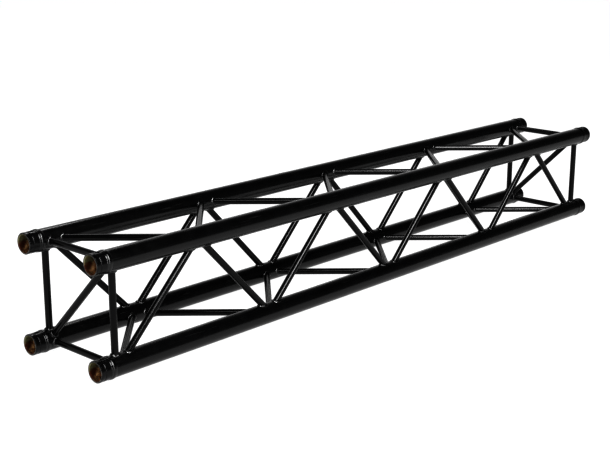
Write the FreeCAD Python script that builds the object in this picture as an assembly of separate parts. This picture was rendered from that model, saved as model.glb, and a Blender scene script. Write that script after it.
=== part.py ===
"""Lighting truss section: a square aluminium box truss with conical receivers, in millimetres.

X runs along the truss, Y from its front to its rear and Z up. The origin is under the middle of
the truss, level with its lowest point, which is the weld round each receiver.
"""
import FreeCAD, Part
import math
import os

# Overall
LENGTH = 2000.0             # receiver face to receiver face
SPACING = 240.0             # chord centre to chord centre, across and up

# Tubes
CHORD_R = 25.0
CHORD_WALL = 2.0
BRACE_R = 8.0
BRACE_WALL = 2.0

# Lattice
HALF_BAYS = 8               # diagonals along each face
HALF_PITCH = 232.5          # between neighbouring lattice points
FRAME_FROM_FACE = 55.5      # receiver face to the middle of the end frame

# Conical receiver, each X measured inwards from its face
BODY_LENGTH = 35.0          # full-diameter length, up to the shoulder that meets the chord
RECEIVER_LENGTH = 70.0
SPIGOT_CLEARANCE = 0.1      # between the spigot and the inside of the chord
MOUTH_R = 20.0
THROAT_R = 16.5             # at the spigot's end
MOUTH_CHAMFER = 1.5
EDGE_CHAMFER = 1.2
SPIGOT_CHAMFER = 2.0
GROOVE_X = 11.5
GROOVE_WIDTH = 3.0
GROOVE_DEPTH = 0.8
PIN_HOLE_R = 5.25
PIN_HOLE_X = 20.0

# Weld beads
RING_OUTLINE = [            # ring weld between receiver and chord: distance from the face, height
    (27.0, 0.0),
    (28.0, 0.9),            # low first run
    (29.5, 0.9),
    (31.5, 0.5),
    (33.5, 1.8),            # high second run, over the shoulder
    (37.0, 1.8),
    (42.5, 0.0),
]
BEAD_LEG = 4.0              # fillet weld round the end of each brace

RING_HEIGHT = max(height for _, height in RING_OUTLINE)
LOW_Z = CHORD_R + RING_HEIGHT
HIGH_Z = LOW_Z + SPACING
CHORDS = {
    "top_front": (-SPACING / 2, HIGH_Z),
    "top_rear": (SPACING / 2, HIGH_Z),
    "bottom_front": (-SPACING / 2, LOW_Z),
    "bottom_rear": (SPACING / 2, LOW_Z),
}
SIDES = {"left": -1, "right": 1}
FACES = {                   # each face: the chord met at even lattice points, then at odd ones
    "front": ("bottom_front", "top_front"),
    "rear": ("top_rear", "bottom_rear"),
    "top": ("top_rear", "top_front"),
    "bottom": ("bottom_front", "bottom_rear"),
}
FRAME_MEMBERS = {           # each end frame: the two chords that a member joins
    "end_upright_front": ("bottom_front", "top_front"),
    "end_upright_rear": ("bottom_rear", "top_rear"),
    "end_rail_top": ("top_front", "top_rear"),
    "end_rail_bottom": ("bottom_front", "bottom_rear"),
    "end_diagonal": ("top_front", "bottom_rear"),
}
ALONG = FreeCAD.Vector(1, 0, 0)


def point(x, chord):
    """The point on a chord's centre line at x."""
    y, z = CHORDS[chord]
    return FreeCAD.Vector(x, y, z)


def rod(start, end, radius):
    """A solid round bar from start to end."""
    return Part.makeCylinder(radius, start.distanceToPoint(end), start, end.sub(start))


def chord_bar(chord, radius, margin=0.0):
    """A solid bar on a chord's centre line, as long as the truss less a margin at each end."""
    half = LENGTH / 2 - margin
    return rod(point(-half, chord), point(half, chord), radius)


def chord_tube(chord):
    """A main tube, butted against the shoulders of its two receivers."""
    outside = chord_bar(chord, CHORD_R, BODY_LENGTH)
    return outside.cut(chord_bar(chord, CHORD_R - CHORD_WALL, BODY_LENGTH))


def outline_edges(points):
    """Straight edges through a list of (x, r) points."""
    vectors = [FreeCAD.Vector(x, 0, r) for x, r in points]
    return [Part.makeLine(a, b) for a, b in zip(vectors, vectors[1:])]


def arc_edge(start, through, end):
    """A circular arc through three (x, r) points."""
    return Part.Arc(*[FreeCAD.Vector(x, 0, r) for x, r in (start, through, end)]).toShape()


def revolved(edges):
    """The solid that a closed outline of (x, r) edges sweeps round the X axis."""
    face = Part.Face(Part.Wire(Part.__sortEdges__(edges)))
    return face.revolve(FreeCAD.Vector(0, 0, 0), ALONG, 360)


def receiver_blank():
    """A receiver on the X axis, with its face at X = 0 and its spigot towards +X."""
    spigot_r = CHORD_R - CHORD_WALL - SPIGOT_CLEARANCE
    groove_start = (GROOVE_X - GROOVE_WIDTH / 2, CHORD_R)
    groove_end = (GROOVE_X + GROOVE_WIDTH / 2, CHORD_R)
    front = [
        (0, MOUTH_R + MOUTH_CHAMFER),
        (0, CHORD_R - EDGE_CHAMFER),
        (EDGE_CHAMFER, CHORD_R),
        groove_start,
    ]
    back = [
        groove_end,
        (BODY_LENGTH, CHORD_R),
        (BODY_LENGTH, spigot_r),
        (RECEIVER_LENGTH - SPIGOT_CHAMFER, spigot_r),
        (RECEIVER_LENGTH, spigot_r - SPIGOT_CHAMFER),
        (RECEIVER_LENGTH, THROAT_R),
        (MOUTH_CHAMFER, MOUTH_R),
        (0, MOUTH_R + MOUTH_CHAMFER),
    ]
    groove = arc_edge(groove_start, (GROOVE_X, CHORD_R - GROOVE_DEPTH), groove_end)
    body = revolved(outline_edges(front) + [groove] + outline_edges(back))
    pin_hole = Part.makeCylinder(PIN_HOLE_R, 4 * CHORD_R, FreeCAD.Vector(PIN_HOLE_X, 0, -2 * CHORD_R))
    return body.cut(pin_hole)


def ring_weld_blank():
    """The two-run bead over the joint between a receiver and its chord, on the X axis."""
    points = [(x, CHORD_R + height) for x, height in RING_OUTLINE]
    return revolved(outline_edges(points + points[:1]))


def at_chord_end(blank, chord, side):
    """A copy of a shape made for a left-hand end, set at one end of a chord."""
    copy = blank.copy()
    if side == "right":
        copy = copy.mirror(FreeCAD.Vector(0, 0, 0), ALONG)
    copy.translate(point(SIDES[side] * LENGTH / 2, chord))
    return copy


def brace_tube(start_x, start_chord, end_x, end_chord):
    """A brace whose ends are coped to sit on the two chords."""
    start = point(start_x, start_chord)
    end = point(end_x, end_chord)
    tube = rod(start, end, BRACE_R).cut(rod(start, end, BRACE_R - BRACE_WALL))
    for chord in (start_chord, end_chord):
        tube = tube.cut(chord_bar(chord, CHORD_R))
    return tube


def fillet_bead(start_x, start_chord, end_x, end_chord):
    """The weld bead round a brace where it meets its first chord."""
    start = point(start_x, start_chord)
    end = point(end_x, end_chord)
    sleeve = rod(start, end, BRACE_R + BEAD_LEG)
    bead = sleeve.common(chord_bar(start_chord, CHORD_R + BEAD_LEG))
    return bead.cut(chord_bar(start_chord, CHORD_R)).cut(rod(start, end, BRACE_R))


def face_members(face):
    """The ends of each diagonal of one face, from left to right."""
    even_chord, odd_chord = FACES[face]
    first_x = -HALF_BAYS / 2 * HALF_PITCH
    members = []
    for index in range(HALF_BAYS):
        left_chord, right_chord = (even_chord, odd_chord) if index % 2 == 0 else (odd_chord, even_chord)
        left_x = first_x + index * HALF_PITCH
        members.append((left_x, left_chord, left_x + HALF_PITCH, right_chord))
    return members


def corner_beads(frame_x, chord):
    """The welds of one end frame on one chord; beads that run together are one solid."""
    starts = [
        (frame_x, chord, frame_x, second if chord == first else first)
        for first, second in FRAME_MEMBERS.values()
        if chord in (first, second)
    ]
    bars = [rod(point(x, a), point(x, b), BRACE_R) for x, a, _, b in starts]
    beads = [fillet_bead(*start) for start in starts]
    joined = beads[0].multiFuse(beads[1:])
    for bar in bars:
        joined = joined.cut(bar)
    return joined.Solids


def save(name, solids):
    """Checks the solids of one node and writes them to its STEP file."""
    shape = solids[0] if len(solids) == 1 else Part.makeCompound(solids)
    if not shape.isValid() or any(solid.Volume <= 0 for solid in solids):
        raise RuntimeError(name + " is not a set of sound solids")
    shape.exportStep(os.path.join("parts", name + ".step"))
    print(f"{name}: {len(solids)} solid(s), {sum(solid.Volume for solid in solids) / 1000:.1f} cm3")


def main():
    os.makedirs("parts", exist_ok=True)
    for chord in CHORDS:
        save("chord_" + chord, chord_tube(chord).Solids)

    receiver = receiver_blank()
    ring_weld = ring_weld_blank()
    ring_welds = []
    for chord in CHORDS:
        for side in SIDES:
            save(f"receiver_{chord}_{side}", at_chord_end(receiver, chord, side).Solids)
            ring_welds += at_chord_end(ring_weld, chord, side).Solids
    save("receiver_welds", ring_welds)

    for face in FACES:
        beads = []
        for number, (left_x, left_chord, right_x, right_chord) in enumerate(face_members(face), 1):
            tube = brace_tube(left_x, left_chord, right_x, right_chord)
            save(f"diagonal_{face}_{number}", tube.Solids)
            beads += fillet_bead(left_x, left_chord, right_x, right_chord).Solids
            beads += fillet_bead(right_x, right_chord, left_x, left_chord).Solids
        save("diagonal_welds_" + face, beads)

    frame_beads = []
    for side, sign in SIDES.items():
        frame_x = sign * (LENGTH / 2 - FRAME_FROM_FACE)
        for name, (first, second) in FRAME_MEMBERS.items():
            save(f"{name}_{side}", brace_tube(frame_x, first, frame_x, second).Solids)
        for chord in CHORDS:
            frame_beads += corner_beads(frame_x, chord)
    save("end_frame_welds", frame_beads)

    lean = math.degrees(math.atan2(SPACING, HALF_PITCH))
    print(f"diagonals lean {lean:.1f} degrees from the chords")


main()
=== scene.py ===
"""Looks of the lighting truss section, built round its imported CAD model. Every length is in metres.

X runs along the truss, Y from its front to its rear and Z up. Each CAD node is replaced by one
fine piece of the same size: closed meshes for the tubes, turned receivers with drilled pin holes,
and weld beads with ripples. The finish is satin black powder coat, with bare copper-brown sockets.
"""
import math

import bmesh
import bpy
from mathutils import Matrix, Vector, noise


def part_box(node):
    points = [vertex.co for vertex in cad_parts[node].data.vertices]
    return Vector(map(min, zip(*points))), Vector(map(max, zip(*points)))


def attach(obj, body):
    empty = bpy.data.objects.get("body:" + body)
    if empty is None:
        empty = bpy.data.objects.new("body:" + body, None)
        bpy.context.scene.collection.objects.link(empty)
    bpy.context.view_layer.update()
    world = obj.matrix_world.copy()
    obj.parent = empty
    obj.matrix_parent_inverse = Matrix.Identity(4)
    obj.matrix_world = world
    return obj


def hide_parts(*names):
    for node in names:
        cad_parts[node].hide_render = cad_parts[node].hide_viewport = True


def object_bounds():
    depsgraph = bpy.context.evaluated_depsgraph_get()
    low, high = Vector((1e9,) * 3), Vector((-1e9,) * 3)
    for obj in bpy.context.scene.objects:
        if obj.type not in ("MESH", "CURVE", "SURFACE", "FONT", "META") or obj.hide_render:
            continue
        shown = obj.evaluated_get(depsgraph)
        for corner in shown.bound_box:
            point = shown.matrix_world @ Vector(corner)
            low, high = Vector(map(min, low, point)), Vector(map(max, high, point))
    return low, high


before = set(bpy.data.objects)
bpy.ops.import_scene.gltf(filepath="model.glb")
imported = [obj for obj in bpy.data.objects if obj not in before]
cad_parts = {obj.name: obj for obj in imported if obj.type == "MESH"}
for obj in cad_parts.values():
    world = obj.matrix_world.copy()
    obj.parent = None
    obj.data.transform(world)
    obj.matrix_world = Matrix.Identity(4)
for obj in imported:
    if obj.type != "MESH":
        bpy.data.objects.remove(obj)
CAD_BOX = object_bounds()

MM = 0.001

# Tubes
CHORD_R = 25 * MM
CHORD_WALL = 2 * MM
BRACE_R = 8 * MM
BRACE_WALL = 2 * MM
CHORD_SEGMENTS = 128
BRACE_SEGMENTS = 64
BRACE_SINK = 0.8 * MM           # how far a brace's end goes into the chord's wall, under its weld

# Receiver: distances from its face, and radii
BODY_LENGTH = 35 * MM
RECEIVER_LENGTH = 70 * MM
SPIGOT_R = 22.9 * MM
SPIGOT_CHAMFER = 2 * MM
MOUTH_R = 20 * MM
THROAT_R = 16.5 * MM
MOUTH_CHAMFER = 1.5 * MM
EDGE_CHAMFER = 1.2 * MM
GROOVE_X = 11.5 * MM
GROOVE_HALF_WIDTH = 1.5 * MM
GROOVE_DEPTH = 0.8 * MM
GROOVE_STEPS = 10
GROOVE_LIP = 0.25 * MM          # width of the soft edge before the groove
GROOVE_LIP_DROP = 0.06 * MM
PIN_HOLE_X = 20 * MM
PIN_HOLE_R = 5.25 * MM
PIN_HOLE_BREAK = 0.45 * MM      # rounding of the pin hole's outer edge
PIN_HOLE_INNER_BREAK = 0.2 * MM
PIN_HOLE_COAT_END = 0.25 * MM   # where its coat stops, above the socket's wall
PIN_HOLE_RINGS = (1.6 * MM, 3.2 * MM)           # depths of the extra loops in its wall
RECEIVER_SEGMENTS = 192

# Roundings of the receiver's corners
MOUTH_ROUNDING = 0.25 * MM      # face to mouth chamfer
SOCKET_ROUNDING = 0.3 * MM      # mouth chamfer to socket
FACE_ROUNDING = 0.3 * MM        # face to edge chamfer
SIDE_ROUNDING = 0.45 * MM       # edge chamfer to side
SHOULDER_ROUNDING = 0.3 * MM
SPIGOT_ROUNDING = 0.4 * MM
CORNER_STEPS = 5

# Rows along the socket, besides those of the patch below
SOCKET_STEP = 6 * MM
SOCKET_DEEP_ROWS = 7
SOCKET_SHALLOW_ROWS = (10 * MM, 7 * MM, 4.5 * MM, 2.5 * MM)

# The patch of the receiver's wall that holds a pin hole
PATCH_HALF_LENGTH = 6.5 * MM
PATCH_ROWS = 14
PATCH_HALF_COLUMNS = 9
PATCH_SHARES = (0.35, 0.7, 1.0)                 # loops from its outer rim in to the hole
PATCH_INNER_SHARES = (0.65, 0.3)                # loops from the hole out to its inner rim
BREAK_ANGLES = (30, 60, 90)                     # loops over the rounding, in degrees
COATED, BARE = 0, 1                             # the receiver's material numbers

# Ring weld between a receiver and its chord: distance from the face, height
RING_HEIGHT = 1.8 * MM
RING_OUTLINE = [
    (26.8 * MM, 0.0),
    (28.0 * MM, 0.8 * MM),
    (29.3 * MM, 0.95 * MM),
    (31.3 * MM, 0.5 * MM),
    (33.4 * MM, 1.55 * MM),
    (35.2 * MM, RING_HEIGHT),
    (37.6 * MM, 1.5 * MM),
    (40.6 * MM, 1.1 * MM),
    (42.5 * MM, 0.0),
]
RING_SEGMENTS = 440
RING_ROWS = 24
RING_RIPPLES = 62
RING_DRIFT = 1.5                # how far ripples stray round the ring, in radians of a ripple
RING_LEAN = 2.4                 # how far a ripple's ends trail behind its middle, likewise
RING_RIPPLE_MIDDLE = 0.62       # where that middle is, as a share of the way across the bead
RING_FADE = 4                   # ripples fade out over 1 / RING_FADE of the bead at each edge
RING_STEP = 0.06 * MM           # height of the ripples
RING_SWELL = 0.08 * MM          # height of the slow unevenness
RING_SETTLE = 0.05 * MM         # lowers the bead, so that it stays under its full height
RING_SHIFT = 0.15 * MM          # how far the bead's line strays along the chord
RING_DRIFT_SIZE = 12 * MM       # length of each kind of unevenness round the ring
RING_SWELL_SIZE = 7 * MM
RING_SHIFT_SIZE = 9 * MM
WELD_SINK = 0.35 * MM           # how far a bead's hidden side goes into the metal under it
RIPPLE_SKEW = 0.55              # 0 is an even wave, 1 a wave with one steep side

# Fillet weld round a brace's end
BEAD_LEG = 4 * MM
BEAD_SEGMENTS = 176
BEAD_ROWS = 10
BEAD_RIPPLES = 23
BEAD_DRIFT = 1.2                # as for the ring weld
BEAD_LEAN = 1.5
BEAD_STEP = 0.13 * MM
BEAD_TOE_STEP = 0.1 * MM        # how far the ripples push the bead's edges
BEAD_BRACE_LEG_WANDER = 0.12    # unevenness of each leg, as a share of it
BEAD_CHORD_LEG_WANDER = 0.16
BEAD_CROWN = 0.13               # how far the bead bulges, as a share of its width
BEAD_CROWN_WANDER = 0.05
BEAD_DRIFT_SIZE = 8 * MM        # length of each kind of unevenness round the bead
BEAD_LEG_SIZE = 6 * MM
BEAD_CROWN_SIZE = 7 * MM
BEAD_NOISE_R = 10 * MM          # radius of the circle in the noise that a bead's unevenness follows

# Camera at the photograph's viewing angle: degrees, metres and millimetres of lens
CAMERA_AZIMUTH = -47.17
CAMERA_ELEVATION = 15.19
CAMERA_ROLL = 0.11
CAMERA_DISTANCE = 3.1885
CAMERA_AIM = Vector((-0.2081, 0.0, 0.0291))     # from the middle of the CAD model's box
CAMERA_LENS = 71.14
CAMERA_SENSOR = 36
CAMERA_REACH = 100

PICTURE_GAMMA = 0.55                            # deepens the blacks, as a catalogue picture does

# The unseen room: brightness at the sine of each elevation, and how strong it is in front of the
# truss and behind it, with the places along Y between which that changes
ROOM_GLOW = [(0.0, 1.0), (0.2, 0.9), (0.45, 0.5), (0.65, 0.05), (1.0, 0.005)]
FRONT_GLOW = 0.12
REAR_GLOW = 1.5
FRONT_GLOW_Y = -0.1
REAR_GLOW_Y = 0.5

# Soft boxes: azimuth (0 in front, 90 on the right), elevation, distance, width, height, watts
LIGHTS = {
    "key_light": (-22, 46, 3.6, 1.1, 2.8, 240),
    "left_light": (-50, 40, 3.6, 0.8, 0.8, 20),
    "low_light": (-33, 9, 4.3, 1.1, 1.5, 38),
    "rear_light": (165, 50, 3.6, 1.5, 0.9, 30),
}

# Floor: rings of faces out to far beyond the view, and a glow that keeps it white
FLOOR_RADII = (2.0, 5.0, 12.0, 30.0)
FLOOR_SEGMENTS = 96
FLOOR_GAP = 0.5 * MM            # keeps the floor from touching the lowest welds
FLOOR_MOTTLE = 0.6
FLOOR_GREYS = (0.12, 0.13)
FLOOR_ROUGHNESS = 0.9
FLOOR_GLOW = 0.98

# Powder coats: lowest and highest roughness, gloss, depth of the orange peel
CHORD_COAT = (0.21, 0.27, 0.7, 0.003 * MM)
BRACE_COAT = (0.17, 0.21, 0.4, 0.0015 * MM)
WELD_COAT = (0.15, 0.22, 0.9, 0.012 * MM)
RECEIVER_COAT = (0.18, 0.26, 0.5, 0.008 * MM)
LONG_RUBS = ((14, 260, 260), 0.35)              # rubs to a metre along X, Y and Z; added roughness
SHORT_RUBS = ((30, 30, 30), 0.12)
GRAIN_SHARE = 0.25              # depth of the fine grain, as a share of the orange peel's
SHADE_SIZE = 90 * MM            # sizes of the coat's uneven shade, its gloss, orange peel and grain
GLOSS_SIZE = 24 * MM
PEEL_SIZE = 1.6 * MM
GRAIN_SIZE = 0.35 * MM
DARK_COAT = (0.0024, -0.06)     # level and warmth of the greys
PALE_COAT = (0.0042, -0.04)
RUBBED_COAT = (0.009, 0.03)

# Wear on a receiver: bands about the mouth's edge and the outer edge of its face
MOUTH_WEAR = (1.1 * MM, 1.7 * MM)               # outside the mouth's radius
FACE_WEAR = (2.6 * MM, 0.5 * MM)                # outside the mouth's radius, inside the chord's
EDGE_WEAR = (0.9 * MM, 0.3 * MM)                # inside the chord's radius
SCUFF_SIZE = 2.4 * MM
SCUFF_PATCH_SIZE = 14 * MM
WORN_GREY = (0.26, 0.05)
WORN_METALLIC = 0.6
WORN_ROUGHNESS = 0.2

# Bare sockets: copper tones by band. Towards the mouth, painted shade in dark brown and a painted
# reflection of the pale floor in olive on the upper side
COPPER_TONES = [
    (0.30, (0.34, 0.14, 0.065, 1.0)),
    (0.44, (0.74, 0.38, 0.180, 1.0)),
    (0.56, (1.00, 0.70, 0.400, 1.0)),
    (0.72, (0.60, 0.27, 0.120, 1.0)),
]
# Painted shade: the dark brown of the socket's wall near its mouth
SOCKET_PAINTED_SHADE = (0.13, 0.045, 0.022, 1.0)
# Painted reflection of the pale floor: olive on the upper side of the socket near its mouth
SOCKET_PAINTED_REFLECTION = (0.27, 0.27, 0.16, 1.0)
SHADE_EDGE_REACH = 14 * MM           # how far the edge of the painted shade and reflection wanders
SHADE_EDGE_END = (27 * MM, 38 * MM)  # where the painted shade and reflection give way to copper: depth less height
SOCKET_PATCH_SIZE = 12 * MM
SOCKET_METALLIC = 0.55
SOCKET_ROUGHNESS = (0.34, 0.52)
TURNING_SCALE = (2600, 30, 30)                  # turning marks to a metre along X, Y and Z
BAND_SCALE = (150, 40, 40)
TURNING_DEPTH = 0.02 * MM

SIDES = {"left": 1, "right": -1}                # the way into the truss along X
CHORDS = ("top_front", "top_rear", "bottom_front", "bottom_rear")
FACES = {                                       # the chord met at even lattice points, and at odd
    "front": ("bottom_front", "top_front"),
    "rear": ("top_rear", "bottom_rear"),
    "top": ("top_rear", "top_front"),
    "bottom": ("bottom_front", "bottom_rear"),
}
FRAME_MEMBERS = {                               # each end frame: the two chords that a member joins
    "end_upright_front": ("bottom_front", "top_front"),
    "end_upright_rear": ("bottom_rear", "top_rear"),
    "end_rail_top": ("top_front", "top_rear"),
    "end_rail_bottom": ("bottom_front", "bottom_rear"),
    "end_diagonal": ("top_front", "bottom_rear"),
}
BAYS = 8


# ---------------------------------------------------------------- places, read from the frame

def middle(node):
    """The middle of a CAD node's box."""
    low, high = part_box(node)
    return (low + high) / 2


CHORD_LINE = {chord: middle("chord_" + chord) for chord in CHORDS}
HALF_PITCH = middle("diagonal_front_2").x - middle("diagonal_front_1").x
FIRST_POINT = middle("diagonal_front_1").x - HALF_PITCH / 2
FACE_X = {"left": CAD_BOX[0].x, "right": CAD_BOX[1].x}
FRAME_X = {side: middle("end_upright_front_" + side).x for side in SIDES}


def point(x, chord):
    """The point on a chord's centre line at x."""
    return Vector((x, CHORD_LINE[chord].y, CHORD_LINE[chord].z))


# ---------------------------------------------------------------- mesh making

class Shape:
    """A mesh in the making: points, faces and each face's material number."""

    def __init__(self):
        self.points = []
        self.faces = []
        self.materials = []

    def row(self, points):
        """Adds a row of points and returns their numbers."""
        first = len(self.points)
        self.points.extend(points)
        return list(range(first, len(self.points)))

    def face(self, corners, material=0):
        self.faces.append(corners)
        self.materials.append(material)

    def between(self, row, following, material=0):
        """Four-sided faces between two closed rows of the same length."""
        count = len(row)
        for i in range(count):
            j = (i + 1) % count
            self.face((row[i], row[j], following[j], following[i]), material)

    def ring(self, rows, material=0):
        """A closed skin through rows of points, where the last row meets the first."""
        for row, following in zip(rows, rows[1:] + rows[:1]):
            self.between(row, following, material)

    def piece(self, name, materials, sharp_degrees=35, place=None):
        """Makes the finished object, smooth except at edges sharper than sharp_degrees."""
        mesh = bpy.data.meshes.new(name)
        mesh.from_pydata(self.points, [], self.faces)
        mesh.polygons.foreach_set("material_index", self.materials)
        shaping = bmesh.new()
        shaping.from_mesh(mesh)
        bmesh.ops.recalc_face_normals(shaping, faces=shaping.faces)
        for face in shaping.faces:
            face.smooth = True
        for edge in shaping.edges:
            edge.smooth = edge.calc_face_angle(0.0) < math.radians(sharp_degrees)
        shaping.to_mesh(mesh)
        shaping.free()
        for material in materials:
            mesh.materials.append(material)
        made = bpy.data.objects.new(name, mesh)
        bpy.context.scene.collection.objects.link(made)
        if place is not None:
            made.matrix_world = place
        return made


def finished(piece, slot, *nodes):
    """Fixes a finished piece to the truss in place of its CAD nodes."""
    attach(piece, "root")
    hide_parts(*nodes)


def circle(x, radius, count, centre=Vector((0, 0, 0))):
    """Points round a circle about the X direction, from the top towards +Y."""
    angles = [2 * math.pi * i / count for i in range(count)]
    return [centre + Vector((x, radius * math.sin(a), radius * math.cos(a))) for a in angles]


def wander(position, seed, size):
    """Smooth seeded noise from -1 to 1, with bumps of about the given size."""
    return noise.noise(position / size + Vector((seed * 7.31, seed * 3.17, seed * 1.73)))


def blended(a, b, share):
    return a + (b - a) * share


def interpolated(outline, share):
    """The (x, height) point at a share of the way along an outline's x range, on a smooth curve."""
    x = blended(outline[0][0], outline[-1][0], share)
    for (x0, h0), (x1, h1) in zip(outline, outline[1:]):
        if x <= x1:
            part = (x - x0) / (x1 - x0)
            return x, blended(h0, h1, part * part * (3 - 2 * part))
    return outline[-1]


# ---------------------------------------------------------------- tubes

def chord_tube(chord, finish):
    """A main tube, butted against the shoulders of its two receivers."""
    node = "chord_" + chord
    low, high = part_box(node)
    centre = point(0, chord)
    inner = CHORD_R - CHORD_WALL
    shape = Shape()
    ends = [(low.x, CHORD_R), (high.x, CHORD_R), (high.x, inner), (low.x, inner)]
    shape.ring([shape.row(circle(x, radius, CHORD_SEGMENTS, centre)) for x, radius in ends])
    finished(shape.piece(node + "_tube", [finish]), "chord", node)


def across_directions(direction):
    """Two unit directions at right angles to a brace."""
    first = direction.cross(Vector((1, 0, 0)))
    if first.length < 0.1:
        first = direction.cross(Vector((0, 0, 1)))
    first.normalize()
    return first, direction.cross(first).normalized()


def reach(start, direction, radius):
    """How far along direction a line from start leaves the cylinder of that radius about X.

    start is measured from the chord's axis, and lies inside the cylinder.
    """
    a = direction.y ** 2 + direction.z ** 2
    b = start.y * direction.y + start.z * direction.z
    c = start.y ** 2 + start.z ** 2 - radius ** 2
    return (-b + math.sqrt(b * b - a * c)) / a


def coped_row(start, end, radius, chord_radius, count):
    """Points round a brace of that radius where it leaves the chord that start is on."""
    direction = (end - start).normalized()
    first, second = across_directions(direction)
    points = []
    for i in range(count):
        angle = 2 * math.pi * i / count
        offset = first * (radius * math.cos(angle)) + second * (radius * math.sin(angle))
        points.append(start + offset + direction * reach(offset, direction, chord_radius))
    return points


def brace_tube(node, start, end, finish):
    """A round tube whose ends are coped to two chords and sunk a little into their walls."""
    shape = Shape()
    chord_radius = CHORD_R - BRACE_SINK
    rows = []
    for radius in (BRACE_R, BRACE_R - BRACE_WALL):
        near = coped_row(start, end, radius, chord_radius, BRACE_SEGMENTS)
        far = coped_row(end, start, radius, chord_radius, BRACE_SEGMENTS)
        rows.append((near, matched(near, far, (end - start).normalized())))
    (outer_near, outer_far), (inner_near, inner_far) = rows
    shape.ring([shape.row(points) for points in (outer_near, outer_far, inner_far, inner_near)])
    finished(shape.piece(node + "_tube", [finish]), "brace", node)


def matched(near, far, direction):
    """The far ring in the near ring's order: each far point straight along the brace."""
    def flat(position):
        return position - direction * position.dot(direction)
    ordered = []
    for position in near:
        ordered.append(min(far, key=lambda other: (flat(other) - flat(position)).length))
    return ordered


# ---------------------------------------------------------------- receivers

def rounded(corners):
    """An outline of (x, r) points through (x, r, rounding) corners, curved at the rounded ones."""
    outline = []
    count = len(corners)
    for i, (x, r, rounding) in enumerate(corners):
        here = Vector((x, r))
        if rounding == 0:
            outline.append(here)
            continue
        before = Vector(corners[i - 1][:2]) - here
        after = Vector(corners[(i + 1) % count][:2]) - here
        half_turn = before.angle(after) / 2
        setback = rounding / math.tan(half_turn)
        start = here + before.normalized() * setback
        end = here + after.normalized() * setback
        for step in range(CORNER_STEPS + 1):
            share = step / CORNER_STEPS
            outline.append(blended(blended(start, here, share), blended(here, end, share), share))
    return outline


def socket_radius(x):
    """The radius of the tapered socket at x."""
    return blended(MOUTH_R, THROAT_R, (x - MOUTH_CHAMFER) / (RECEIVER_LENGTH - MOUTH_CHAMFER))


def patch_stations():
    """The x of each row across a pin hole's patch."""
    start = PIN_HOLE_X - PATCH_HALF_LENGTH
    return [start + 2 * PATCH_HALF_LENGTH * i / PATCH_ROWS for i in range(PATCH_ROWS + 1)]


def groove_outline():
    """The turned groove, as an arc of (x, r) points."""
    points = []
    for i in range(1, GROOVE_STEPS):
        share = i / GROOVE_STEPS
        x = GROOVE_X + GROOVE_HALF_WIDTH * (2 * share - 1)
        points.append(Vector((x, CHORD_R - GROOVE_DEPTH * math.sin(math.pi * share) ** 0.8)))
    return points


def receiver_outline():
    """The receiver's closed outline: outside, shoulder, spigot, then back along the socket.

    Returns its points, and where in it the outer patch, the socket and the inner patch start.
    """
    outline = rounded([
        (RECEIVER_LENGTH, 0.0, 0),
        (0.0, MOUTH_R + MOUTH_CHAMFER, MOUTH_ROUNDING),
        (0.0, CHORD_R - EDGE_CHAMFER, FACE_ROUNDING),
        (EDGE_CHAMFER, CHORD_R, SIDE_ROUNDING),
        (GROOVE_X, CHORD_R, 0),
    ])[1:-1]
    outline.append(Vector((GROOVE_X - GROOVE_HALF_WIDTH - GROOVE_LIP, CHORD_R)))
    outline.append(Vector((GROOVE_X - GROOVE_HALF_WIDTH, CHORD_R - GROOVE_LIP_DROP)))
    outline += groove_outline()
    outline.append(Vector((GROOVE_X + GROOVE_HALF_WIDTH, CHORD_R - GROOVE_LIP_DROP)))
    outer_patch = len(outline)
    outline += [Vector((x, CHORD_R)) for x in patch_stations()]
    outline += rounded([
        (PIN_HOLE_X, CHORD_R, 0),
        (BODY_LENGTH, CHORD_R, SHOULDER_ROUNDING),
        (BODY_LENGTH, SPIGOT_R, SPIGOT_ROUNDING),
        (RECEIVER_LENGTH - SPIGOT_CHAMFER, SPIGOT_R, SPIGOT_ROUNDING),
        (RECEIVER_LENGTH, SPIGOT_R - SPIGOT_CHAMFER, SPIGOT_ROUNDING),
        (RECEIVER_LENGTH, THROAT_R, SPIGOT_ROUNDING),
        (MOUTH_CHAMFER, MOUTH_R, 0),
    ])[1:-1]
    socket = len(outline) - CORNER_STEPS        # inside the rounding at the socket's deep end
    deep = [RECEIVER_LENGTH - step * SOCKET_STEP for step in range(1, SOCKET_DEEP_ROWS + 1)]
    outline += [Vector((x, socket_radius(x))) for x in deep]
    inner_patch = len(outline)
    outline += [Vector((x, socket_radius(x))) for x in reversed(patch_stations())]
    outline += [Vector((x, socket_radius(x))) for x in SOCKET_SHALLOW_ROWS]
    outline += rounded([
        (PIN_HOLE_X, socket_radius(PIN_HOLE_X), 0),
        (MOUTH_CHAMFER, MOUTH_R, SOCKET_ROUNDING),
        (0.0, MOUTH_R + MOUTH_CHAMFER, 0),
    ])[1:-1]
    return outline, outer_patch, socket, inner_patch


def patch_rim(rows, first_row, middle_column, reverse):
    """The point numbers round a patch: across its first row, along one side and back."""
    count = RECEIVER_SEGMENTS
    stations = list(range(first_row, first_row + PATCH_ROWS + 1))
    if reverse:
        stations.reverse()
    across = range(-PATCH_HALF_COLUMNS, PATCH_HALF_COLUMNS + 1)
    columns = [(middle_column + i) % count for i in across]
    rim = [rows[stations[0]][column] for column in columns]
    rim += [rows[station][columns[-1]] for station in stations[1:]]
    rim += [rows[stations[-1]][column] for column in reversed(columns[:-1])]
    rim += [rows[station][columns[0]] for station in reversed(stations[1:-1])]
    return rim


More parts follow.
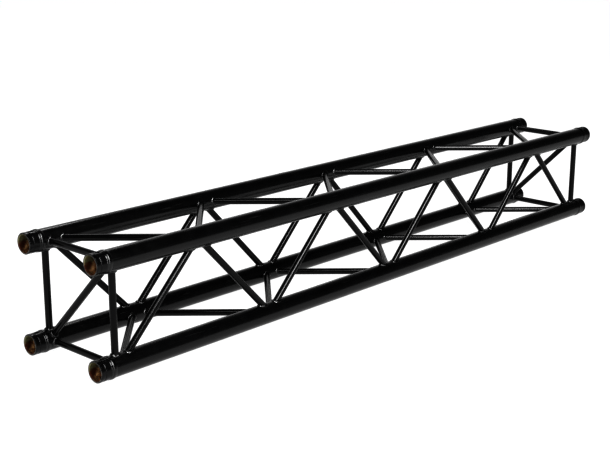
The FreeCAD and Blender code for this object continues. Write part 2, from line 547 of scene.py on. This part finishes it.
def drill(shape, rows, outer_patch, inner_patch, middle_column, up):
    """Fills the two patches of one pin hole with rings of faces, joined by the hole's wall."""
    outer_rim = patch_rim(rows, outer_patch, middle_column, False)
    inner_rim = patch_rim(rows, inner_patch, middle_column, True)

    def spread(number, radius, share):
        """The (x, y) that lies a share of the way from a rim point to the circle of that radius."""
        place = shape.points[number]
        angle = math.atan2(place.y, place.x - PIN_HOLE_X)
        x = PIN_HOLE_X + radius * math.cos(angle)
        y = radius * math.sin(angle)
        return blended(place.x, x, share), blended(place.y, y, share)

    def loop(rim, radius, share, rise, surface):
        """A loop of points that lies that far above a surface: the outside or the socket's wall."""
        points = []
        for number in rim:
            x, y = spread(number, radius, share)
            level = math.sqrt(surface(x) ** 2 - y * y)
            points.append(Vector((x, y, up * (level + rise))))
        return shape.row(points)

    def outside(_):
        return CHORD_R

    edge = PIN_HOLE_BREAK
    loops = [outer_rim]
    loops += [loop(outer_rim, PIN_HOLE_R + edge, share, 0.0, outside) for share in PATCH_SHARES]
    for angle in BREAK_ANGLES:
        turn = math.radians(angle)
        radius = PIN_HOLE_R + edge * (1 - math.sin(turn))
        loops.append(loop(outer_rim, radius, 1.0, -edge * (1 - math.cos(turn)), outside))
    loops += [loop(outer_rim, PIN_HOLE_R, 1.0, -depth, outside) for depth in PIN_HOLE_RINGS]
    loops.append(loop(outer_rim, PIN_HOLE_R, 1.0, PIN_HOLE_COAT_END, socket_radius))
    coated = len(loops) - 1
    inner_r = PIN_HOLE_R + PIN_HOLE_INNER_BREAK
    loops.append(loop(outer_rim, inner_r, 1.0, 0.0, socket_radius))
    for share in PATCH_INNER_SHARES:
        loops.append(loop(inner_rim, inner_r, share, 0.0, socket_radius))
    loops.append(inner_rim)
    for number, (before, after) in enumerate(zip(loops, loops[1:])):
        shape.between(before, after, COATED if number < coated else BARE)


def receiver(chord, side, coat, bare):
    """A conical receiver: a turned body with a tapered socket, a spigot and a pin hole."""
    node = f"receiver_{chord}_{side}"
    outline, outer_patch, socket, inner_patch = receiver_outline()
    shape = Shape()
    rows = [shape.row(circle(position.x, position.y, RECEIVER_SEGMENTS)) for position in outline]
    row_count = len(rows)
    count = RECEIVER_SEGMENTS
    half = PATCH_HALF_COLUMNS
    centres = (0, count // 2)
    cut = {(centre + i) % count for centre in centres for i in range(-half, half)}
    patches = [range(start, start + PATCH_ROWS) for start in (outer_patch, inner_patch)]
    for number in range(row_count):
        row, following = rows[number], rows[(number + 1) % row_count]
        drilled = any(number in patch for patch in patches)
        material = BARE if number >= socket else COATED
        for i in range(count):
            if drilled and i in cut:
                continue
            j = (i + 1) % count
            shape.face((row[i], row[j], following[j], following[i]), material)
    for centre, up in zip(centres, (1, -1)):
        drill(shape, rows, outer_patch, inner_patch, centre, up)
    turn = Matrix.Rotation(0 if side == "left" else math.pi, 4, "Z")
    place = Matrix.Translation(point(FACE_X[side], chord)) @ turn
    made = shape.piece(node + "_turned", [coat, bare], 50, place)
    finished(made, "receiver", node)


# ---------------------------------------------------------------- welds

def ripple(phase):
    """One step of a weld's surface: a slow rise and a quick fall, from -1 to 1."""
    return math.sin(phase + RIPPLE_SKEW * math.sin(phase))


def ring_weld(shape, chord, side, seed):
    """The two-run bead round the joint between a receiver and its chord."""
    centre = point(FACE_X[side], chord)
    rows = []
    for r in range(RING_ROWS + 1):
        share = r / RING_ROWS
        x, height = interpolated(RING_OUTLINE, share)
        fade = min(1.0, RING_FADE * share, RING_FADE * (1 - share))
        points = []
        for i in range(RING_SEGMENTS):
            angle = 2 * math.pi * i / RING_SEGMENTS
            around = Vector((math.cos(angle), math.sin(angle), 0)) * CHORD_R
            drift = RING_DRIFT * wander(around, seed, RING_DRIFT_SIZE)
            lean = RING_LEAN * (2 * abs(share - RING_RIPPLE_MIDDLE)) ** 2
            step = ripple(angle * RING_RIPPLES + drift - lean)
            swell = wander(around, seed + 40, RING_SWELL_SIZE)
            lift = fade * (RING_STEP * step + RING_SWELL * swell - RING_SETTLE)
            shift = RING_SHIFT * wander(around, seed + 80, RING_SHIFT_SIZE)
            radius = CHORD_R + min(height + lift, RING_HEIGHT)
            along = SIDES[side] * (x + shift)
            across, up = radius * math.sin(angle), radius * math.cos(angle)
            points.append(centre + Vector((along, across, up)))
        rows.append(shape.row(points))
    start = SIDES[side] * RING_OUTLINE[0][0]
    end = SIDES[side] * RING_OUTLINE[-1][0]
    under = CHORD_R - WELD_SINK
    rows.append(shape.row(circle(end, under, RING_SEGMENTS, centre)))
    rows.append(shape.row(circle(start, under, RING_SEGMENTS, centre)))
    shape.ring(rows)


def fillet_bead(shape, start, end, seed):
    """A rippled fillet weld round the end of a brace, where it meets the chord that start is on.

    brace_toe and chord_toe are the bead's edges on the brace and on the chord.
    """
    axis = Vector((1, 0, 0))
    direction = (end - start).normalized()
    first, second = across_directions(direction)
    sections = []
    for i in range(BEAD_SEGMENTS):
        angle = 2 * math.pi * i / BEAD_SEGMENTS
        outward = first * math.cos(angle) + second * math.sin(angle)
        offset = outward * BRACE_R
        root = offset + direction * reach(offset, direction, CHORD_R)
        chord_normal = (root - axis * root.dot(axis)).normalized()
        spread = (outward - chord_normal * outward.dot(chord_normal)).normalized()
        seen_at = outward * BEAD_NOISE_R
        phase = angle * BEAD_RIPPLES
        drift = BEAD_DRIFT * wander(seen_at, seed, BEAD_DRIFT_SIZE)
        push = BEAD_TOE_STEP * ripple(phase + drift)
        brace_wander = BEAD_BRACE_LEG_WANDER * wander(seen_at, seed + 31, BEAD_LEG_SIZE)
        chord_wander = BEAD_CHORD_LEG_WANDER * wander(seen_at, seed + 57, BEAD_LEG_SIZE)
        brace_toe = root + direction * (BEAD_LEG * (1 + brace_wander) + push)
        chord_toe = root + spread * (BEAD_LEG * (1 + chord_wander) + push)
        radial = chord_toe - axis * chord_toe.dot(axis)
        chord_toe += radial.normalized() * CHORD_R - radial
        bulge = (brace_toe + chord_toe) / 2 - root
        width = (brace_toe - chord_toe).length
        uneven = BEAD_CROWN_WANDER * wander(seen_at, seed + 73, BEAD_CROWN_SIZE)
        crown = width * (BEAD_CROWN + uneven)
        section = []
        for r in range(BEAD_ROWS + 1):
            share = r / BEAD_ROWS
            arch = 4 * share * (1 - share)
            lean = BEAD_LEAN * (2 * share - 1) ** 2
            step = ripple(phase - lean + drift)
            lift = crown * arch + BEAD_STEP * step * arch ** 0.6
            section.append(blended(brace_toe, chord_toe, share) + bulge.normalized() * lift)
        section.append(chord_toe - chord_normal * WELD_SINK)
        section.append(root - (chord_normal + outward) * WELD_SINK)
        section.append(brace_toe - outward * WELD_SINK)
        sections.append(section)
    rows = [shape.row([start + section[k] for section in sections]) for k in range(BEAD_ROWS + 4)]
    shape.ring(rows)


# ---------------------------------------------------------------- materials

class Finish:
    """A procedural material in the making, with short ways to add the nodes that it uses."""

    def __init__(self, name):
        self.material = bpy.data.materials.new(name)
        self.material.use_nodes = True
        self.nodes = self.material.node_tree.nodes
        self.links = self.material.node_tree.links
        self.shader = self.nodes["Principled BSDF"]
        self.place = self.nodes.new("ShaderNodeTexCoord").outputs["Object"]

    def put(self, value, socket):
        """Links a node's output to a socket, or sets the socket to a plain number or colour."""
        if isinstance(value, bpy.types.NodeSocket):
            self.links.new(value, socket)
        else:
            socket.default_value = value

    def set(self, **values):
        """Sets sockets of the shader; an underscore stands for a space."""
        for name, value in values.items():
            self.put(value, self.shader.inputs[name.replace("_", " ")])

    def noise(self, size, detail=2.0, roughness=0.5, place=None):
        """Noise from 0 to 1 with bumps of about the given size, on the part's own coordinates."""
        node = self.nodes.new("ShaderNodeTexNoise")
        node.inputs["Scale"].default_value = 1 / size
        node.inputs["Detail"].default_value = detail
        node.inputs["Roughness"].default_value = roughness
        self.put(self.place if place is None else place, node.inputs["Vector"])
        return node.outputs["Fac"]

    def math(self, operation, a, b=0.0):
        node = self.nodes.new("ShaderNodeMath")
        node.operation = operation
        self.put(a, node.inputs[0])
        self.put(b, node.inputs[1])
        return node.outputs[0]

    def ranged(self, value, low, high, to_low, to_high, smooth=False):
        """The value, carried from one range to another and held within it."""
        node = self.nodes.new("ShaderNodeMapRange")
        node.interpolation_type = "SMOOTHSTEP" if smooth else "LINEAR"
        ends = {"From Min": low, "From Max": high, "To Min": to_low, "To Max": to_high}
        for name, number in ends.items():
            node.inputs[name].default_value = number
        self.put(value, node.inputs["Value"])
        return node.outputs["Result"]

    def mixed(self, share, a, b):
        """A colour that goes from a to b as share goes from 0 to 1."""
        node = self.nodes.new("ShaderNodeMix")
        node.data_type = "RGBA"
        self.put(share, node.inputs["Factor"])
        colours = [socket for socket in node.inputs if socket.type == "RGBA"]
        self.put(a, colours[0])
        self.put(b, colours[1])
        return [socket for socket in node.outputs if socket.type == "RGBA"][0]

    def ramp(self, value, stops):
        """A colour read off a list of (place, colour) stops."""
        node = self.nodes.new("ShaderNodeValToRGB")
        elements = node.color_ramp.elements
        while len(elements) < len(stops):
            elements.new(0.5)
        for element, (position, colour) in zip(elements, stops):
            element.position = position
            element.color = colour
        self.put(value, node.inputs["Fac"])
        return node.outputs["Color"]

    def stretched(self, x, y, z):
        """The part's own coordinates, scaled by axis."""
        node = self.nodes.new("ShaderNodeMapping")
        node.inputs["Scale"].default_value = (x, y, z)
        self.put(self.place, node.inputs["Vector"])
        return node.outputs["Vector"]

    def bump(self, height, distance, normal=None):
        """A bump of the given depth in metres, laid over another one if there is one."""
        node = self.nodes.new("ShaderNodeBump")
        node.inputs["Distance"].default_value = distance
        self.put(height, node.inputs["Height"])
        if normal is not None:
            self.put(normal, node.inputs["Normal"])
        return node.outputs["Normal"]


def grey(level, warmth=0.0):
    return (level * (1 + warmth), level, level * (1 - warmth), 1.0)


def powder_coat(name, rough_low, rough_high, gloss, peel, rub_scale, rub_depth):
    """Satin black powder coat with orange peel, fine grain and faint, paler rubs."""
    finish = Finish(name)
    patches = finish.noise(SHADE_SIZE, 3.0, 0.6)
    rubs = finish.noise(1.0, 3.0, 0.55, finish.stretched(*rub_scale))
    shade = finish.ranged(patches, 0.3, 0.7, 0.0, 1.0)
    rubbed = finish.ranged(rubs, 0.62, 0.8, 0.0, rub_depth)
    base = finish.mixed(shade, grey(*DARK_COAT), grey(*PALE_COAT))
    colour = finish.mixed(rubbed, base, grey(*RUBBED_COAT))
    spread = finish.ranged(finish.noise(GLOSS_SIZE, 1.0), 0.3, 0.7, rough_low, rough_high)
    peeled = finish.bump(finish.noise(PEEL_SIZE, 1.5), peel)
    grain = finish.bump(finish.noise(GRAIN_SIZE, 1.0), peel * GRAIN_SHARE, peeled)
    finish.set(Base_Color=colour, Roughness=finish.math("ADD", spread, rubbed), Normal=grain)
    finish.set(Specular_IOR_Level=gloss)
    return finish


def receiver_coat():
    """The same coat on a turned receiver, worn through round its mouth and at its outer edge."""
    finish = powder_coat("powder_coat_receiver", *RECEIVER_COAT, *LONG_RUBS)
    split = finish.nodes.new("ShaderNodeSeparateXYZ")
    finish.put(finish.place, split.inputs[0])
    x = split.outputs["X"]
    radius = finish.math("SQRT", finish.math(
        "ADD",
        finish.math("MULTIPLY", split.outputs["Y"], split.outputs["Y"]),
        finish.math("MULTIPLY", split.outputs["Z"], split.outputs["Z"]),
    ))
    scuffs = finish.noise(SCUFF_SIZE, 4.0, 0.65)
    patches = finish.noise(SCUFF_PATCH_SIZE, 2.0, 0.5)
    face = finish.ranged(x, 0.15 * MM, 0.9 * MM, 1.0, 0.0, True)
    inner = finish.ranged(radius, MOUTH_R + FACE_WEAR[0], CHORD_R - FACE_WEAR[1], 1.0, 0.3, True)
    scuffed = finish.ranged(finish.math("ADD", scuffs, patches), 0.86, 1.12, 0.12, 0.9)
    face_wear = finish.math("MULTIPLY", finish.math("MULTIPLY", face, inner), scuffed)
    outer = finish.ranged(radius, CHORD_R - EDGE_WEAR[0], CHORD_R - EDGE_WEAR[1], 0.0, 1.0, True)
    near_face = finish.ranged(x, 0.4 * MM, 1.6 * MM, 1.0, 0.0, True)
    edge_wear = finish.math("MULTIPLY", outer, finish.ranged(scuffs, 0.54, 0.66, 0.0, 0.6))
    mouth = finish.ranged(radius, MOUTH_R + MOUTH_WEAR[0], MOUTH_R + MOUTH_WEAR[1], 1.0, 0.0, True)
    near_mouth = finish.ranged(x, 1.6 * MM, 3.0 * MM, 1.0, 0.0, True)
    worn_mouth = finish.math("MULTIPLY", mouth, near_mouth)
    worn_edge = finish.math("MULTIPLY", edge_wear, near_face)
    worn = finish.math("MAXIMUM", worn_mouth, finish.math("MAXIMUM", face_wear, worn_edge))
    coat = finish.shader.inputs["Base Color"].links[0].from_socket
    rough = finish.shader.inputs["Roughness"].links[0].from_socket
    finish.set(Base_Color=finish.mixed(worn, coat, grey(*WORN_GREY)))
    finish.set(Metallic=finish.math("MULTIPLY", worn, WORN_METALLIC))
    worn_rough = finish.math("MULTIPLY", worn, WORN_ROUGHNESS)
    finish.set(Roughness=finish.math("ADD", rough, worn_rough))
    return finish.material


def bare_socket():
    """The machined socket: banded copper-brown metal with turning marks, with painted shade and a
    painted reflection of the floor at its mouth.
    """
    finish = Finish("bare_socket_metal")
    split = finish.nodes.new("ShaderNodeSeparateXYZ")
    finish.put(finish.place, split.inputs[0])
    turning = finish.noise(1.0, 2.0, 0.6, finish.stretched(*TURNING_SCALE))
    bands = finish.noise(1.0, 3.0, 0.6, finish.stretched(*BAND_SCALE))
    socket_patches = finish.noise(SOCKET_PATCH_SIZE, 4.0, 0.6)
    copper = finish.ramp(bands, COPPER_TONES)
    # Painted reflection: near the mouth, the socket's upper side is painted olive and its lower side
    # dark brown painted shade
    height = finish.ranged(split.outputs["Z"], -0.25 * MOUTH_R, 0.5 * MOUTH_R, 0.0, 0.6)
    painted_reflection_mask = finish.ranged(finish.math("ADD", height, socket_patches), 0.55, 0.9, 0.0, 1.0)
    mouth_shade_and_reflection = finish.mixed(painted_reflection_mask, SOCKET_PAINTED_SHADE, SOCKET_PAINTED_REFLECTION)
    # Painted shade and reflection near the mouth, giving way to copper deeper in; their edge lies
    # deeper on the upper side
    lower = finish.math("SUBTRACT", split.outputs["X"], split.outputs["Z"])
    ragged = finish.math("ADD", lower, finish.math("MULTIPLY", socket_patches, SHADE_EDGE_REACH))
    depth = finish.ranged(ragged, *SHADE_EDGE_END, 0.0, 1.0, True)
    colour = finish.mixed(depth, mouth_shade_and_reflection, copper)
    rough = finish.ranged(socket_patches, 0.3, 0.7, *SOCKET_ROUGHNESS)
    marks = finish.bump(turning, TURNING_DEPTH)
    finish.set(Base_Color=colour, Metallic=SOCKET_METALLIC, Roughness=rough, Normal=marks)
    return finish.material


def floor_finish():
    """A white, glowing, matt studio floor with a slight mottle."""
    finish = Finish("studio_floor")
    mottle = finish.ranged(finish.noise(FLOOR_MOTTLE, 3.0), 0.3, 0.7, 0.0, 1.0)
    low, high = FLOOR_GREYS
    finish.set(Base_Color=finish.mixed(mottle, grey(low), grey(high)), Roughness=FLOOR_ROUGHNESS)
    finish.set(Specular_IOR_Level=0.0)
    finish.set(Emission_Color=grey(1.0), Emission_Strength=FLOOR_GLOW)
    return finish.material


# ---------------------------------------------------------------- the truss

def face_members(face):
    """The ends of each diagonal of one face, from left to right."""
    members = []
    for index in range(BAYS):
        left_chord, right_chord = FACES[face] if index % 2 == 0 else FACES[face][::-1]
        left_x = FIRST_POINT + index * HALF_PITCH
        members.append((point(left_x, left_chord), point(left_x + HALF_PITCH, right_chord)))
    return members


def build_truss():
    """Makes every piece of the truss."""
    chord_coat = powder_coat("powder_coat_chord", *CHORD_COAT, *LONG_RUBS).material
    brace_coat = powder_coat("powder_coat_brace", *BRACE_COAT, *SHORT_RUBS).material
    weld_coat = powder_coat("powder_coat_weld", *WELD_COAT, *LONG_RUBS).material
    end_coat = receiver_coat()
    bare = bare_socket()

    rings = Shape()
    for number, chord in enumerate(CHORDS):
        chord_tube(chord, chord_coat)
        for side in SIDES:
            receiver(chord, side, end_coat, bare)
            ring_weld(rings, chord, side, 2 * number + (side == "right"))
    finished(rings.piece("receiver_welds_beads", [weld_coat]), "weld", "receiver_welds")

    seed = 100
    for face in FACES:
        beads = Shape()
        for number, (start, end) in enumerate(face_members(face), 1):
            brace_tube(f"diagonal_{face}_{number}", start, end, brace_coat)
            fillet_bead(beads, start, end, seed)
            fillet_bead(beads, end, start, seed + 1)
            seed += 2
        node = "diagonal_welds_" + face
        finished(beads.piece(node + "_beads", [weld_coat]), "weld", node)

    beads = Shape()
    for side in SIDES:
        for name, (first, second) in FRAME_MEMBERS.items():
            start, end = point(FRAME_X[side], first), point(FRAME_X[side], second)
            brace_tube(f"{name}_{side}", start, end, brace_coat)
            fillet_bead(beads, start, end, seed)
            fillet_bead(beads, end, start, seed + 1)
            seed += 2
    finished(beads.piece("end_frame_welds_beads", [weld_coat]), "weld", "end_frame_welds")


# ---------------------------------------------------------------- stage, lights and camera

def build_floor():
    """A round white floor that runs far out of view."""
    shape = Shape()
    turns = [2 * math.pi * i / FLOOR_SEGMENTS for i in range(FLOOR_SEGMENTS)]
    rows = []
    for radius in FLOOR_RADII:
        points = [Vector((radius * math.cos(a), radius * math.sin(a), 0)) for a in turns]
        rows.append(shape.row(points))
    shape.face(tuple(rows[0]))
    for row, following in zip(rows, rows[1:]):
        shape.between(row, following)
    floor = shape.piece("studio_floor", [floor_finish()])
    floor.location.z = CAD_BOX[0].z - FLOOR_GAP


def build_world():
    """White to the camera. To all else, a dark room that glows low down, most behind the truss."""
    world = bpy.data.worlds.new("studio")
    world.use_nodes = True
    bpy.context.scene.world = world
    nodes = world.node_tree.nodes
    links = world.node_tree.links
    direction = nodes.new("ShaderNodeTexCoord")
    split = nodes.new("ShaderNodeSeparateXYZ")
    glow = nodes.new("ShaderNodeValToRGB")
    elements = glow.color_ramp.elements
    while len(elements) < len(ROOM_GLOW):
        elements.new(0.5)
    for element, (height, level) in zip(elements, ROOM_GLOW):
        element.position = height
        element.color = (level, level, level, 1.0)
    room = nodes["Background"]
    backdrop = nodes.new("ShaderNodeBackground")
    backdrop.inputs["Color"].default_value = (1.0, 1.0, 1.0, 1.0)
    path = nodes.new("ShaderNodeLightPath")
    choice = nodes.new("ShaderNodeMixShader")
    links.new(direction.outputs["Generated"], split.inputs[0])
    links.new(split.outputs["Z"], glow.inputs["Fac"])
    links.new(glow.outputs["Color"], room.inputs["Color"])
    behind = nodes.new("ShaderNodeMapRange")
    behind.inputs["From Min"].default_value = FRONT_GLOW_Y
    behind.inputs["From Max"].default_value = REAR_GLOW_Y
    behind.inputs["To Min"].default_value = FRONT_GLOW
    behind.inputs["To Max"].default_value = REAR_GLOW
    links.new(split.outputs["Y"], behind.inputs["Value"])
    links.new(behind.outputs["Result"], room.inputs["Strength"])
    links.new(path.outputs["Is Camera Ray"], choice.inputs["Fac"])
    links.new(room.outputs[0], choice.inputs[1])
    links.new(backdrop.outputs[0], choice.inputs[2])
    links.new(choice.outputs[0], nodes["World Output"].inputs["Surface"])


def soft_light(name, azimuth, elevation, distance, width, height, watts):
    """A soft box at a direction and distance from the truss's middle, facing it."""
    a, e = math.radians(azimuth), math.radians(elevation)
    way = Vector((math.sin(a) * math.cos(e), -math.cos(a) * math.cos(e), math.sin(e)))
    data = bpy.data.lights.new(name, "AREA")
    data.shape = "RECTANGLE"
    data.size = width
    data.size_y = height
    data.energy = watts
    lamp = bpy.data.objects.new(name, data)
    bpy.context.scene.collection.objects.link(lamp)
    lamp.location = (CAD_BOX[0] + CAD_BOX[1]) / 2 + way * distance
    lamp.rotation_mode = "QUATERNION"
    lamp.rotation_quaternion = (-way).to_track_quat("-Z", "Y")


def build_camera():
    """Looks from the front left, a little above the truss."""
    data = bpy.data.cameras.new("camera")
    data.sensor_width = CAMERA_SENSOR
    data.lens = CAMERA_LENS
    data.clip_end = CAMERA_REACH
    camera = bpy.data.objects.new("camera", data)
    bpy.context.scene.collection.objects.link(camera)
    a, e = math.radians(CAMERA_AZIMUTH), math.radians(CAMERA_ELEVATION)
    back = Vector((math.sin(a) * math.cos(e), -math.cos(a) * math.cos(e), math.sin(e)))
    aim = (CAD_BOX[0] + CAD_BOX[1]) / 2 + CAMERA_AIM
    right = Vector((0, 0, 1)).cross(back).normalized()
    up = back.cross(right)
    turn = Matrix((right, up, back)).transposed().to_4x4()
    roll = Matrix.Rotation(math.radians(CAMERA_ROLL), 4, "Z")
    camera.matrix_world = Matrix.Translation(aim + back * CAMERA_DISTANCE) @ turn @ roll
    bpy.context.scene.camera = camera


def build_studio():
    build_camera()
    build_world()
    build_floor()
    for name, numbers in LIGHTS.items():
        soft_light(name, *numbers)
    settings = bpy.context.scene.view_settings
    settings.view_transform = "Standard"
    settings.gamma = PICTURE_GAMMA


build_truss()
build_studio()
